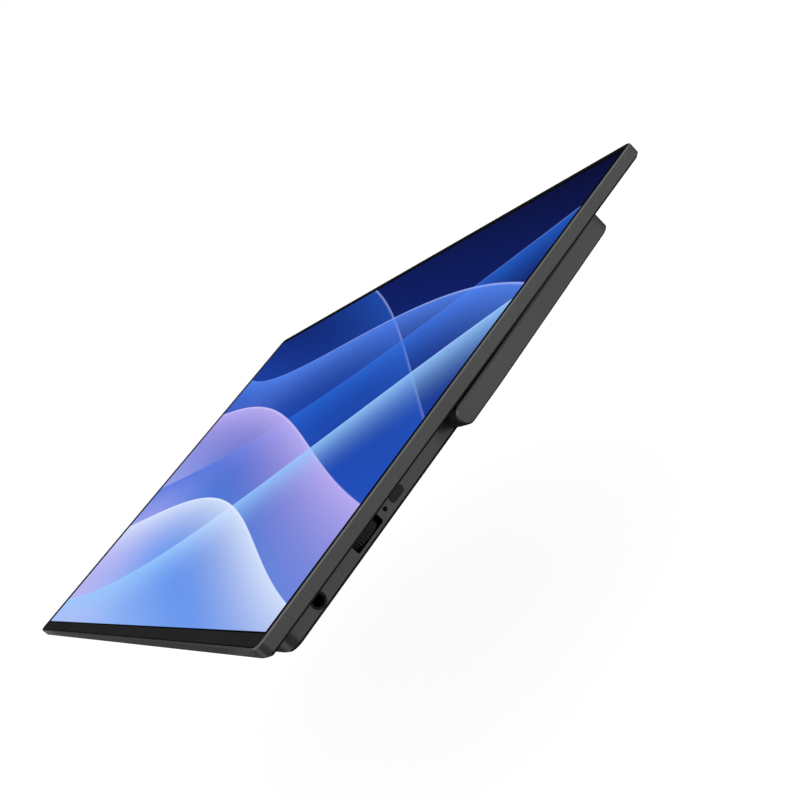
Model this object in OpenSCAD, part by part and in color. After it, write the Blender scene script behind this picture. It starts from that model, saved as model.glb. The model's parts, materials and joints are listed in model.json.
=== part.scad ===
// Portable monitor with a fold-out U-shaped stand, lying on its back with the screen up.
// +X is the viewer's right, +Y the top edge of the picture and +Z the way the screen faces.
// The origin is the middle of the back plane, on which the housing and the folded stand rest.

/* [Display slab] */
// Width of the slab
slab_w = 309; // [250:1:400]
// Height of the slab, from its bottom edge to its top edge
slab_h = 196.7; // [170:0.1:260]
// Thickness of the slab
slab_t = 5; // [4.6:0.1:8]
// Radius of the slab's four corners
slab_corner_r = 3; // [2.4:0.2:8]
// Thickness of the slab's side walls
slab_wall = 0.8; // [0.6:0.1:1.5]
// Thickness of the slab's back
slab_floor = 0.8; // [0.6:0.1:1.2]
// Chamfer round the front rim
rim_chamfer = 0.4; // [0.2:0.05:0.6]
// Bevel round the back edge, measured across the back
back_bevel_w = 1.3; // [0.6:0.1:1.6]
// Bevel round the back edge, measured up the side
back_bevel_h = 0.95; // [0.4:0.05:1.3]
// Larger bevel on the back's bottom edge, measured across the back
low_bevel_w = 2; // [1:0.1:2]
// Larger bevel on the back's bottom edge, measured up the wall
low_bevel_h = 1.5; // [0.6:0.1:1.5]

/* [Screen] */
// Height of the plain strip below the picture
chin_h = 5; // [5:0.1:12]
// How far the screen glass lies below the rim
glass_sink = 0.4; // [0.2:0.05:0.8]
// Thickness of each of the two glass plates of the screen
glass_t = 0.75; // [0.5:0.05:1]
// Thickness of the diffuser and prism films together
film_t = 0.4; // [0.2:0.05:0.6]
// Thickness of the reflector sheet
reflector_t = 0.15; // [0.1:0.05:0.3]
// Thickness of the panel's steel back plate
back_plate_t = 0.3; // [0.2:0.05:0.5]
// Thickness of the foam tape that holds the panel
tape_t = 0.4; // [0.3:0.05:0.6]
// Number of light-emitting diodes along the bottom edge
led_count = 36; // [12:1:48]
// Number of driver flexes from the glass to the timing board
flex_count = 4; // [2:1:6]

/* [Housing] */
// Depth of the housing behind the slab
housing_t = 7; // [7:0.1:12]
// Length of the housing along the slab's height
housing_h = 86; // [80:1:120]
// Step from the slab's side edge to the housing's side wall
housing_inset = 9; // [8.8:0.1:20]
// Step from the slab's bottom edge to the housing's bottom wall
housing_low = 7; // [5:0.5:20]
// Thickness of the housing's walls
housing_wall = 1.2; // [0.8:0.1:1.6]
// Thickness of the housing's back
housing_skin = 1; // [0.8:0.1:1.2]
// Radius of the housing's two bottom corners
housing_corner_r = 4.5; // [2:0.5:8]
// Radius of the housing's two top corners, beside the hinges
housing_top_r = 1.2; // [1.2:0.1:4]
// Bevel round the housing's back edge
housing_bevel = 1; // [0.4:0.1:1.1]

/* [Stand] */
// Step from the slab's side edge to the outside of a stand arm
stand_inset = 0.8; // [0.5:0.1:4]
// Gap between the folded stand and the slab
stand_lift = 0.5; // [0.4:0.05:1.2]
// Width of each arm
arm_w = 5.7; // [4.5:0.1:7]
// How far each arm leans in between its hinge and the bar
arm_lean = 3.6; // [0:0.1:6]
// Width of the bar that joins the arms
bar_w = 8; // [5:0.5:14]
// Distance from the hinge axis to the bar's outer edge
stand_reach = 85.5; // [70:0.1:100]
// Height of the hinge axis above the slab's bottom edge
hinge_height = 87.6; // [80:0.1:100]
// Radius of the stand's outer corners
stand_corner_r = 7; // [2:0.5:8]
// Radius of the stand's inner corners
stand_inner_r = 1.5; // [0.5:0.5:4]
// Bevel along the stand's edges
stand_bevel = 0.5; // [0.2:0.1:0.8]
// Height of the rubber strip let into the bar
foot_h = 2.6; // [1.5:0.1:4]
// How far the rubber strip stands proud of the bar
foot_proud = 0.3; // [0.1:0.1:0.8]

/* [Hinge] */
// Radius of the hinge shaft
shaft_r = 1.2; // [0.9:0.05:1.3]
// Thickness of the hinge leaf
leaf_t = 1; // [0.8:0.1:1.3]
// How far the leaf lies below the stand's back face
leaf_sink = 0.3; // [0.1:0.05:0.5]
// Length of the leaf from the hinge axis
leaf_len = 11.9; // [11:0.1:20]
// Distance between the two screws of a leaf
leaf_screw_pitch = 7.8; // [5:0.1:8.5]
// Distance from the hinge axis to the first screw of a leaf
leaf_screw_start = 1.7; // [1.6:0.1:2.6]
// How deep the leaf's knuckle is set into the arm's end
knuckle_set = 0.6; // [0.4:0.1:1.5]
// Length of the bracket's barrel
barrel_len = 5; // [3:0.5:7]
// Number of friction washers on each shaft
washer_count = 3; // [1:1:4]

/* [Connectors] */
// Width of a USB-C socket
usb_w = 8.94; // [8.94:0.01:9.2]
// Height of a USB-C socket
usb_h = 3.26; // [3.2:0.01:3.4]
// Height of the upper USB-C socket above the slab's bottom edge
usb_upper_v = 59.3; // [55:0.1:64]
// Height of the lower USB-C socket above the slab's bottom edge
usb_lower_v = 41.1; // [38:0.1:44]
// Width of the mini-HDMI socket
hdmi_w = 11.2; // [11:0.1:11.6]
// Height of the mini-HDMI socket
hdmi_h = 3.2; // [3:0.05:3.4]
// Height of the mini-HDMI socket above the slab's bottom edge
hdmi_v = 22.3; // [18:0.1:26]
// Thickness of the sockets' metal shells
shell_t = 0.3; // [0.2:0.05:0.4]
// Radius of the audio jack's hole
jack_hole_r = 1.8; // [1.75:0.05:1.9]
// Outer radius of the audio jack's barrel
jack_barrel_r = 2.4; // [2.2:0.05:2.5]
// Length of the audio jack
jack_len = 12; // [10:0.5:14]
// Height of the audio jack above the slab's bottom edge
jack_v = 22; // [19:0.1:26]

/* [Controls] */
// Length of the jog wheel's window
jog_window_len = 11.8; // [11:0.1:14]
// Height of the jog wheel's window
jog_window_h = 3.4; // [3:0.1:3.8]
// Height of the jog wheel above the slab's bottom edge
jog_v = 44.7; // [42:0.1:46]
// Radius of the jog wheel
jog_r = 6.5; // [5.5:0.1:7]
// Thickness of the jog wheel
jog_t = 2.4; // [1.8:0.1:2.6]
// Number of ribs round the jog wheel
jog_ribs = 44; // [24:2:60]
// How far the jog wheel stands out of the wall
jog_proud = 0.25; // [0.1:0.05:0.6]
// How far the jog wheel is pushed in
jog_travel = 0.4; // [0.2:0.05:0.5]
// Length of the power button
button_len = 5.5; // [4:0.1:7]
// Height of the power button
button_h = 2.5; // [2:0.1:3]
// Height of the power button above the slab's bottom edge
button_v = 58.85; // [58:0.05:62]
// How far the power button stands out of the wall
button_proud = 0.25; // [0.1:0.05:0.6]
// How far the power button is pushed in
button_travel = 0.35; // [0.2:0.05:0.5]
// Radius of the status light's window
light_r = 0.75; // [0.5:0.05:1]
// Height of the status light above the slab's bottom edge
light_v = 53.3; // [52.5:0.1:54]

/* [Hidden] */
$fn = 64;
eps = 0.01;
over = 1; // how far a cutting shape runs past what it cuts
fit = 0.1;
running_fit = 0.05;
thread_fit = 0.03;
half_w = slab_w / 2;
half_h = slab_h / 2;
slab_z = housing_t;
rim_z = slab_z + slab_t;
floor_z = slab_z + slab_floor;
wall_x = half_w - housing_inset;
wall_in_x = wall_x - housing_wall;

// Panel stack, from the glass down to the tape
glass_top_z = rim_z - glass_sink;
front_glass_z = glass_top_z - glass_t;
rear_glass_z = front_glass_z - glass_t;
plate_z = floor_z + tape_t;
reflector_z = plate_z + back_plate_t;
guide_z = reflector_z + reflector_t;
film_z = rear_glass_z - film_t;
lip_t = 0.4;
lip_sink = 0.3;
frame_inset = slab_wall + fit;
glass_inset = frame_inset + lip_t + fit;
ring_inset = frame_inset + 1;
guide_inset = ring_inset + fit;
layer_min_r = 0.3;
low_skin = 0.75;
panel_low = 2.6;
ledge_low = panel_low + lip_t;
strip_low = panel_low + 0.7;
strip_w = 1;
guide_low = strip_low + strip_w + 0.05;
chin_gap = 0.12;

// Driver flexes and the timing board
flex_t = 0.12;
flex_w = 34;
flex_low = 2;
flex_pitch = slab_w / (flex_count + 1);
timing_w = 220;
timing_h = 10;
timing_t = 0.8;
timing_v = 16;
timing_gap = 0.5;

// Boards
board_t = 1;
socket_z = housing_t / 2;
board_z = socket_z + usb_h / 2;
board_top_z = board_z + board_t;
board_edge = 0.6;
main_board_w = 84;
main_board_low = 10.2;
main_board_high = 79;
main_post_in = [12, main_board_w - 5];
main_post_v = [31, 73];
key_board_w = 14.4;
key_board_low = 14.5;
key_board_high = 67;
key_post_in = 10.8;
key_post_v = [31, 63.5];
usb_depth = 7.35;
jack_back_x = wall_x - jack_len;
jack_body_w = 6;
jack_body_h = 2 * jack_barrel_r - 0.3;
jack_notch_gap = 0.4;
jack_ear = 1.4;
jack_ear_t = 0.6;
hdmi_depth = 8.2;
key_cable_w = 6;
key_cable_v = 38;
cable_t = 0.15;
cable_end = 5;
display_cable_w = 22;

// Screws: radius of shank, radius and height of head
screw_r = 0.7;
screw_head_r = 1.5;
screw_head_h = 0.7;
leaf_screw_r = 0.7;
leaf_screw_bite = 1.9;
leaf_head_r = 1.15;
leaf_head_h = 0.55;
post_r = 2.1;

// Stand and hinge
stand_t = housing_t - stand_lift;
hinge_z = stand_t / 2;
hinge_y = hinge_height - half_h;
stand_top_y = hinge_y + stand_reach;
window_top_y = stand_top_y - bar_w;
arm_out_x = half_w - stand_inset;
arm_in_x = arm_out_x - arm_w;
lean_step = 1.5;
lean_y = hinge_y + leaf_len + lean_step;
lean = atan(arm_lean / (stand_top_y - lean_y));
corner_y = stand_top_y - stand_corner_r;
corner_x = lean_x(arm_out_x, stand_corner_r, corner_y);
end_r = stand_t / 2;
knuckle_gap = 0.2;
knuckle_out_x = arm_in_x + knuckle_set;
knuckle_in_x = wall_x + knuckle_gap;
knuckle_r = end_r - 0.1;
shaft_end_x = knuckle_out_x - 0.35;
press_gap = 0.01;
leaf_edge = stand_bevel + 0.2;
leaf_corner_r = 2.2;
leaf_screw_x = arm_in_x + arm_w / 2 - 0.35;
head_sink = 0.3;
pocket_fit = 0.08;
barrel_r = min(hinge_z - housing_skin - 0.2, shaft_r + 0.75);
barrel_x = wall_in_x - 0.6;
washer_t = 0.4;
washer_r = barrel_r;
washer_x = barrel_x - barrel_len - 0.05;
washer_pitch = washer_t + 0.02;
nut_x = washer_x - washer_count * washer_pitch;
nut_t = 1.4;
nut_r = barrel_r;
bracket_plate_t = 1;
bracket_reach = 15;
bracket_low = 7.2;
bracket_web_h = 2.4;
bracket_screw_low = 4.6;
bracket_screw_x = [barrel_x - bracket_reach + 2.6, barrel_x - 4];
foot_depth = 0.9;
foot_inset = 4;
foot_x = corner_x - foot_inset;

// Snap tabs of the housing
tab_count = 5;
tab_len = 9;
tab_t = 0.6;
tab_rise = 0.65;
tab_pitch = (2 * wall_x - 40) / (tab_count - 1);
inner_corner_r = 0.6;

// Controls
press_slack = 0.05;
jog_x = wall_x + jog_proud - jog_r;
jog_z = socket_z;
jog_axle_r = 0.9;
jog_head_r = 1.5;
jog_head_t = 0.35;
jog_rib_depth = 0.22;
jog_room = 0.2;
carrier_t = 0.25;
carrier_w = 8;
carrier_front = 3;
switch_x = jog_x - jog_r - jog_travel - jog_room;
switch_w = 8;
switch_len = 3.6;
button_flange = 0.8;
button_flange_t = 0.6;
button_flange_h = 2 * (board_z - socket_z - fit);
button_back_x = wall_in_x - fit;
button_stem_len = 1.2;
power_switch_len = 3.4;
power_switch_w = 4.6;
pipe_len = 4.4;
pipe_fit = 0.08;

// Where the boards stand
main_board_x = -wall_in_x + board_edge;
key_board_x = wall_in_x - board_edge;
board_posts = concat([for (x = main_post_in, v = main_post_v) [main_board_x + x, v]],
    [for (v = key_post_v) [key_board_x - key_post_in, v]]);

// ---------- shared shapes ----------

// Height above the slab's bottom edge, as a Y coordinate
function up(v) = v - half_h;

// Rectangle with round corners, centred on the origin
module round_rect(w, h, r) {
    square([w - 2 * r, h], center = true);
    square([w, h - 2 * r], center = true);
    for (x = [-1, 1], y = [-1, 1])
        translate([x * (w / 2 - r), y * (h / 2 - r)])
            circle(r);
}

// Slot-shaped outline with round ends, centred on the origin
module stadium(w, h) {
    square([w - h, h], center = true);
    for (x = [-1, 1])
        translate([x * (w - h) / 2, 0])
            circle(h / 2);
}

// Half outline of a plate's edge: low and high are [across, up] bevels
module edge_outline(half, t, low, high) {
    polygon([[0, 0], [half - low.x, 0], [half, low.y], [half, t - high.y],
        [half - high.x, t], [0, t]]);
}

// Plate with round corners and a bevel round its lower and upper edges
module bevelled_plate(w, h, r, t, low, high) {
    rotate([90, 0, 90])
        linear_extrude(w - 2 * r, center = true)
            for (m = [0, 1])
                mirror([m, 0])
                    edge_outline(h / 2, t, low, high);
    rotate([90, 0, 0])
        linear_extrude(h - 2 * r, center = true)
            for (m = [0, 1])
                mirror([m, 0])
                    edge_outline(w / 2, t, low, high);
    for (x = [-1, 1], y = [-1, 1])
        translate([x * (w / 2 - r), y * (h / 2 - r), 0])
            rotate_extrude()
                edge_outline(r, t, low, high);
}

// Outline of a layer in the slab, inset from the slab's edge and cut off below a height
module layer_outline(inset, low) {
    intersection() {
        round_rect(slab_w - 2 * inset, slab_h - 2 * inset, max(slab_corner_r - inset, layer_min_r));
        translate([-half_w, up(low)])
            square([slab_w, slab_h]);
    }
}

module layer(inset, low, z0, z1) {
    translate([0, 0, z0])
        linear_extrude(z1 - z0)
            layer_outline(inset, low);
}

// Outline drawn in (Y, Z), extruded from x towards -X
module along_x(x, depth) {
    translate([x, 0, 0])
        rotate([90, 0, -90])
            mirror([1, 0, 0])
                linear_extrude(depth)
                    children();
}

// Cylinder along X from x0 to x1 at a height above the bottom edge
module rod_x(x0, x1, y, z, r) {
    translate([min(x0, x1), y, z])
        rotate([0, 90, 0])
            cylinder(h = abs(x1 - x0), r = r);
}

module rod_z(x, y, z0, z1, r) {
    translate([x, y, z0])
        cylinder(h = z1 - z0, r = r);
}

module box(x0, x1, y0, y1, z0, z1) {
    translate([x0, y0, z0])
        cube([x1 - x0, y1 - y0, z1 - z0]);
}

// Pan-head screw driven towards +Z, its head's seat at z
module pan_screw(z, tip_z, r, head_r, head_h) {
    difference() {
        union() {
            rod_z(0, 0, z - eps, tip_z, r);
            rod_z(0, 0, z - head_h, z, head_r);
        }
        for (a = [0, 90])
            rotate([0, 0, a])
                box(-head_r * 0.6, head_r * 0.6, -0.15, 0.15, z - head_h - eps, z - head_h / 2);
    }
}

// ---------- slab ----------

module each_post() {
    for (p = board_posts)
        translate([p.x, up(p.y), 0])
            children();
}

module each_bracket_screw() {
    for (s = [-1, 1], x = bracket_screw_x)
        translate([s * x, hinge_y - bracket_screw_low, 0])
            children();
}

module each_tab() {
    tab_y = housing_h / 2 - housing_wall / 2;
    for (i = [0 : tab_count - 1], s = [-1, 1])
        translate([(i - (tab_count - 1) / 2) * tab_pitch, up(housing_low + housing_h / 2) + s * tab_y, 0])
            children();
}

// Wedge under the bevel on the back's bottom edge, raised by an amount
module low_wedge(rise) {
    slope = low_bevel_h / low_bevel_w;
    along_x(half_w + over, slab_w + 2 * over)
        polygon([[-half_h - over, slab_z - over],
            [-half_h - over, slab_z + low_bevel_h + slope * over + rise],
            [-half_h + low_bevel_w + (over + rise) / slope, slab_z - over]]);
}

module rear_chassis() {
    color("#2b2b2d")
    difference() {
        union() {
            difference() {
                translate([0, 0, slab_z])
                    bevelled_plate(slab_w, slab_h, slab_corner_r, slab_t,
                        [back_bevel_w, back_bevel_h], [rim_chamfer, rim_chamfer]);
                difference() {
                    layer(slab_wall, 0, floor_z, rim_z + eps);
                    low_wedge(low_skin);
                }
            }
            each_post()
                rod_z(0, 0, board_top_z, slab_z + eps, post_r);
        }
        low_wedge(0);
        each_post()
            rod_z(0, 0, board_top_z - eps, floor_z + eps, screw_r + thread_fit);
        each_bracket_screw()
            rod_z(0, 0, slab_z - eps, floor_z + eps, screw_r + thread_fit);
        each_tab()
            box(-tab_len / 2 - fit, tab_len / 2 + fit, -tab_t / 2 - fit, tab_t / 2 + fit,
                slab_z - eps, floor_z + eps);
        box(-timing_w / 2 - timing_gap, timing_w / 2 + timing_gap,
            up(timing_v - timing_h / 2 - timing_gap), up(timing_v + timing_h / 2 + timing_gap),
            slab_z - eps, floor_z + eps);
    }
}

module chin_strip() {
    color("#262626")
    difference() {
        layer(frame_inset, 0, front_glass_z + 0.2, rim_z - 0.1);
        box(-half_w, half_w, up(chin_h), half_h, 0, rim_z);
    }
}

module lcd_front_glass() {
    color("#1d3fa0")
    layer(glass_inset, chin_h + chin_gap, front_glass_z, glass_top_z);
}

module lcd_rear_glass() {
    color("#20242c")
    layer(glass_inset, ledge_low, rear_glass_z, front_glass_z);
}

module optical_films() {
    color("#e8e8e8")
    layer(guide_inset, guide_low, film_z, rear_glass_z);
}

module light_guide() {
    color("#cfe0e8")
    layer(guide_inset, guide_low, guide_z, film_z);
}

module reflector_sheet() {
    color("#f4f4f4")
    layer(guide_inset, strip_low, reflector_z, guide_z);
}

module led_strip() {
    strip_len = slab_w - 2 * guide_inset - 2 * slab_corner_r;
    led_pitch = strip_len / led_count;
    color("#efe9c0") {
        box(-strip_len / 2, strip_len / 2, up(strip_low), up(strip_low) + 0.3, guide_z, film_z);
        for (i = [0 : led_count - 1])
            translate([(i - (led_count - 1) / 2) * led_pitch, 0, 0])
                box(-1.5, 1.5, up(strip_low) + 0.3, up(strip_low) + strip_w, guide_z + 0.05, film_z - 0.05);
    }
}

module panel_frame() {
    color("#151515")
    difference() {
        layer(frame_inset, panel_low, reflector_z, rim_z - lip_sink);
        layer(ring_inset, strip_low - fit, reflector_z - eps, rim_z);
        layer(glass_inset - fit, ledge_low - fit, rear_glass_z, rim_z + eps);
        box(-half_w, half_w, -half_h, up(chin_h + chin_gap), front_glass_z + 0.1, rim_z);
        box(-half_w, half_w, -half_h, up(ledge_low), rear_glass_z, rim_z);
    }
}

module panel_back_plate() {
    color("#9a9da0")
    layer(frame_inset, panel_low, plate_z, reflector_z);
}

module panel_tape() {
    tape_w = 6;
    side = 8;
    color("#3a3a3a") {
        for (s = [-1, 1])
            translate([s * (half_w - side - tape_w / 2), 0, 0])
                box(-tape_w / 2, tape_w / 2, up(26), up(slab_h - 16), floor_z, plate_z);
        box(-half_w + 2 * side, half_w - 2 * side, up(slab_h - 12), up(slab_h - 12 + tape_w),
            floor_z, plate_z);
        box(-half_w + 3 * side, half_w - 3 * side, up(26), up(26 + tape_w), floor_z, plate_z);
    }
}

// One flex: off the glass ledge, round the panel's lower edge and back to the timing board
module driver_flexes() {
    low_z = floor_z + 0.04;
    end_v = timing_v - timing_h / 2 + 2.5;
    color("#8a5a2a")
    for (i = [1 : flex_count])
        translate([-half_w + i * flex_pitch, 0, 0])
            translate([flex_w / 2, 0, 0])
                along_x(0, flex_w)
                    polygon([[up(ledge_low + 1.6), front_glass_z],
                        [up(ledge_low + 1.6), front_glass_z + flex_t],
                        [up(flex_low), front_glass_z + flex_t], [up(flex_low), low_z],
                        [up(end_v), low_z], [up(end_v), low_z + flex_t],
                        [up(flex_low + flex_t), low_z + flex_t], [up(flex_low + flex_t), front_glass_z]]);
}

module timing_board() {
    top_z = floor_z;
    color("#1f5a34") {
        box(-timing_w / 2, timing_w / 2, up(timing_v - timing_h / 2), up(timing_v + timing_h / 2),
            top_z - timing_t, top_z);
        for (x = [-60, -20, 45])
            box(x - 4, x + 4, up(timing_v - 2.5), up(timing_v + 2.5),
                top_z - timing_t - 0.5, top_z - timing_t);
    }
}

// Flat cable from the underside of the timing board to the top of the main board
module display_cable() {
    start_v = timing_v + timing_h / 2;
    under_z = floor_z - timing_t - cable_t;
    lower_side = [[up(start_v - 3), under_z], [up(start_v - 0.5), under_z],
        [up(start_v + 2), board_top_z], [up(start_v + 2 + cable_end), board_top_z]];
    upper_side = [for (i = [len(lower_side) - 1 : -1 : 0]) lower_side[i] + [0, cable_t]];
    color("#2a2a30")
    along_x(main_board_x + main_board_w - 14, display_cable_w)
        polygon(concat(lower_side, upper_side));
}

// ---------- housing ----------

// Plate with one radius at its lower corners and another at its upper corners
module housing_plate(w, h, low_r, top_r, t, low) {
    for (half = [[low_r, -1], [top_r, 1]])
        intersection() {
            bevelled_plate(w, h, half[0], t, low, [0, 0]);
            translate([-w, half[1] > 0 ? 0 : -h, -over])
                cube([2 * w, h, t + 2 * over]);
        }
}

module usb_outline(grow) {
    stadium(usb_w + 2 * grow, usb_h + 2 * grow);
}

// The long side faces the back, and the corners towards the slab are cut
module hdmi_outline(grow) {
    w = hdmi_w / 2 + grow;
    h = hdmi_h / 2 + grow;
    cut = 1.2;
    polygon([[-w, -h + 0.3], [-w + 0.3, -h], [w - 0.3, -h], [w, -h + 0.3], [w, h - cut],
        [w - cut, h], [-w + cut, h], [-w, h - cut]]);
}

module jog_window() {
    round_rect(jog_window_len, jog_window_h, 0.6);
}

module housing_cover() {
    inner_h = housing_h - 2 * housing_wall;
    mid_y = up(housing_low + housing_h / 2);
    color("#262628")
    difference() {
        union() {
            difference() {
                translate([0, mid_y, 0])
                    housing_plate(2 * wall_x, housing_h, housing_corner_r, housing_top_r, housing_t,
                        [housing_bevel, housing_bevel]);
                translate([0, mid_y, housing_skin])
                    housing_plate(2 * wall_in_x, inner_h, housing_corner_r - housing_wall,
                        inner_corner_r, housing_t, [0, 0]);
            }
            each_tab()
                box(-tab_len / 2, tab_len / 2, -tab_t / 2, tab_t / 2,
                    housing_t - eps, housing_t + tab_rise);
        }
        // left wall: the sockets
        for (v = [usb_upper_v, usb_lower_v])
            translate([0, up(v), socket_z])
                along_x(-wall_in_x + over, housing_wall + 2 * over)
                    usb_outline(fit);
        translate([0, up(hdmi_v), socket_z])
            along_x(-wall_in_x + over, housing_wall + 2 * over)
                hdmi_outline(fit);
        // right wall: jack, jog wheel, status light and power button
        rod_x(wall_in_x - over, wall_x + over, up(jack_v), socket_z, jack_barrel_r + fit);
        translate([0, up(jog_v), jog_z])
            along_x(wall_x + over, housing_wall + 2 * over)
                jog_window();
        rod_x(wall_in_x - over, wall_x + over, up(light_v), socket_z, light_r);
        translate([0, up(button_v), socket_z])
            along_x(wall_x + over, housing_wall + 2 * over)
                stadium(button_len + 2 * fit, button_h + 2 * fit);
        // both walls: the hinge shafts
        for (s = [-1, 1])
            rod_x(s * (wall_in_x - over), s * (wall_x + over), hinge_y, hinge_z, shaft_r + 0.3);
    }
}

module board_holes() {
    each_post()
        rod_z(0, 0, board_z - eps, board_top_z + eps, screw_r + fit);
}

module main_board() {
    color("#1f5a34")
    difference() {
        box(main_board_x, main_board_x + main_board_w, up(main_board_low), up(main_board_high),
            board_z, board_top_z);
        board_holes();
    }
}

module chip(x, v, size, t) {
    translate([main_board_x + x, up(v), board_z - t / 2])
        cube([size, size, t], center = true);
}

// The scaler, the two socket controllers and two chokes
module board_chips() {
    color("#141414") {
        chip(43, 47, 14, 1);
        chip(25, 59.3, 6, 0.9);
        chip(25, 41.1, 5, 0.9);
        chip(58, 63, 5, 1.6);
        chip(68, 63, 5, 1.6);
    }
}

module board_screws() {
    color("#8c8c90")
    each_post()
        pan_screw(board_z, floor_z - 0.1, screw_r, screw_head_r, screw_head_h);
}

module key_board() {
    color("#1f5a34")
    difference() {
        box(key_board_x - key_board_w, key_board_x, up(key_board_low), up(key_board_high),
            board_z, board_top_z);
        box(jack_back_x - jack_notch_gap, key_board_x + eps, up(jack_v) - jack_body_w / 2 - jack_notch_gap,
            up(jack_v) + jack_body_w / 2 + jack_notch_gap, 0, rim_z);
        board_holes();
    }
}

// Flat cable along the slab's back from the key board to the main board
module key_cable() {
    x0 = main_board_x + main_board_w;
    x1 = key_board_x - key_board_w;
    top_z = slab_z - 0.05;
    low_z = board_top_z;
    step = 2;
    lower_side = [[x0 - cable_end, low_z], [x0, low_z], [x0 + step, top_z - cable_t],
        [x1 - step, top_z - cable_t], [x1, low_z], [x1 + cable_end, low_z]];
    upper_side = [for (i = [len(lower_side) - 1 : -1 : 0]) lower_side[i] + [0, cable_t]];
    color("#d8d8d2")
    translate([0, up(key_cable_v) + key_cable_w / 2, 0])
        rotate([90, 0, 0])
            linear_extrude(key_cable_w)
                polygon(concat(lower_side, upper_side));
}

// ---------- connectors ----------

module usb_shell(v) {
    color("#a8a8aa")
    translate([0, up(v), socket_z])
        difference() {
            along_x(-wall_x + usb_depth, usb_depth)
                usb_outline(0);
            along_x(-wall_x + usb_depth - shell_t, usb_depth)
                usb_outline(-shell_t);
        }
}

module usb_c_shell_upper() {
    usb_shell(usb_upper_v);
}

module usb_c_shell_lower() {
    usb_shell(usb_lower_v);
}

module usb_c_tongues() {
    tongue_w = 6.69;
    tongue_t = 0.7;
    tongue_len = 4.9;
    color("#101010")
    for (v = [usb_upper_v, usb_lower_v])
        translate([0, up(v), socket_z])
            along_x(-wall_x + usb_depth - shell_t, tongue_len)
                square([tongue_w, tongue_t], center = true);
}

module mini_hdmi_shell() {
    color("#b9a77a")
    translate([0, up(hdmi_v), socket_z])
        difference() {
            along_x(-wall_x + hdmi_depth, hdmi_depth)
                hdmi_outline(0);
            along_x(-wall_x + hdmi_depth - shell_t, hdmi_depth)
                hdmi_outline(-shell_t);
        }
}

module mini_hdmi_tongue() {
    color("#101010")
    translate([0, up(hdmi_v), socket_z])
        along_x(-wall_x + hdmi_depth - shell_t, 5.6)
            square([8.2, 0.8], center = true);
}

// Barrel with a square body in the board's notch, hung by two ears from the board
module audio_jack() {
    front_x = wall_in_x - 0.7;
    ear_w = jack_body_w / 2 + jack_notch_gap + jack_ear;
    color("#303032")
    difference() {
        union() {
            rod_x(jack_back_x, wall_x, up(jack_v), socket_z, jack_barrel_r);
            box(jack_back_x, front_x, up(jack_v) - jack_body_w / 2, up(jack_v) + jack_body_w / 2,
                socket_z - jack_body_h / 2, socket_z + jack_body_h / 2);
            box(jack_back_x + 1, front_x - 1, up(jack_v) - ear_w, up(jack_v) + ear_w,
                board_z - jack_ear_t, board_z);
        }
        rod_x(jack_back_x + 1, wall_x + over, up(jack_v), socket_z, jack_hole_r);
    }
}

// ---------- controls ----------

module status_led() {
    x1 = wall_x - pipe_len - 0.1;
    color("#e6e6d8")
    box(x1 - 1.6, x1, up(light_v) - 0.8, up(light_v) + 0.8, socket_z - 0.6, board_z);
}

module led_light_pipe() {
    color("#c8d4dc")
    rod_x(wall_x - pipe_len, wall_x - 0.1, up(light_v), socket_z, light_r - pipe_fit);
}

// Cap through the wall, a flange that keeps it in and a stem that meets the switch
module power_button() {
    color("#3a3a3c")
    translate([0, up(button_v), socket_z]) {
        along_x(wall_x + button_proud, wall_x + button_proud - button_back_x + eps)
            stadium(button_len, button_h);
        along_x(button_back_x, button_flange_t)
            stadium(button_len + 2 * button_flange, button_flange_h);
        along_x(button_back_x - button_flange_t + eps, button_stem_len + eps)
            square([2, 1.6], center = true);
    }
}

module power_switch() {
    x1 = button_back_x - button_flange_t - button_stem_len - button_travel - press_slack;
    color("#202022")
    box(x1 - power_switch_len, x1, up(button_v) - power_switch_w / 2, up(button_v) + power_switch_w / 2,
        socket_z - 1.5, board_z);
}

function rib_r(a) = jog_r - jog_rib_depth * (0.5 - 0.5 * cos(a * jog_ribs));

module jog_wheel() {
    steps = jog_ribs * 6;
    color("#2c2c2e")
    translate([jog_x, up(jog_v), jog_z])
        difference() {
            translate([0, 0, -jog_t / 2])
                linear_extrude(jog_t)
                    polygon([for (i = [0 : steps - 1])
                        let (a = i * 360 / steps) rib_r(a) * [cos(a), sin(a)]]);
            translate([0, 0, -jog_t])
                cylinder(h = 2 * jog_t, r = jog_axle_r + running_fit);
        }
}

// Plate over the wheel, with its axle: it slides under the board and presses the switch
module jog_carrier() {
    plate_top = board_z - press_slack;
    back = switch_x + jog_travel + press_slack - jog_x;
    low_z = jog_z - jog_t / 2 - press_slack;
    color("#202022")
    translate([jog_x, up(jog_v), 0]) {
        box(back, carrier_front, -carrier_w / 2, carrier_w / 2, plate_top - carrier_t, plate_top);
        rod_z(0, 0, low_z - eps, plate_top - carrier_t + eps, jog_axle_r);
        rod_z(0, 0, low_z - jog_head_t, low_z, jog_head_r);
    }
}

module jog_switch() {
    color("#202022")
    box(switch_x - switch_len, switch_x, up(jog_v) - switch_w / 2, up(jog_v) + switch_w / 2,
        jog_z - 1.4, board_z);
}

// ---------- hinge: the parts fixed to the slab ----------

module hinge_bracket() {
    in_x = barrel_x - barrel_len;
    color("#7c7c80")
    difference() {
        union() {
            rod_x(in_x, barrel_x, hinge_y, hinge_z, barrel_r);
            box(in_x, barrel_x, hinge_y - bracket_web_h / 2, hinge_y + bracket_web_h / 2, hinge_z, slab_z);
            box(barrel_x - bracket_reach, barrel_x, hinge_y - bracket_low, hinge_y + bracket_web_h / 2,
                slab_z - bracket_plate_t, slab_z);
        }
        rod_x(in_x - over, barrel_x + over, hinge_y, hinge_z, shaft_r + running_fit);
        each_bracket_screw()
            rod_z(0, 0, slab_z - bracket_plate_t - eps, slab_z + eps, screw_r + fit);
    }
}

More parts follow.
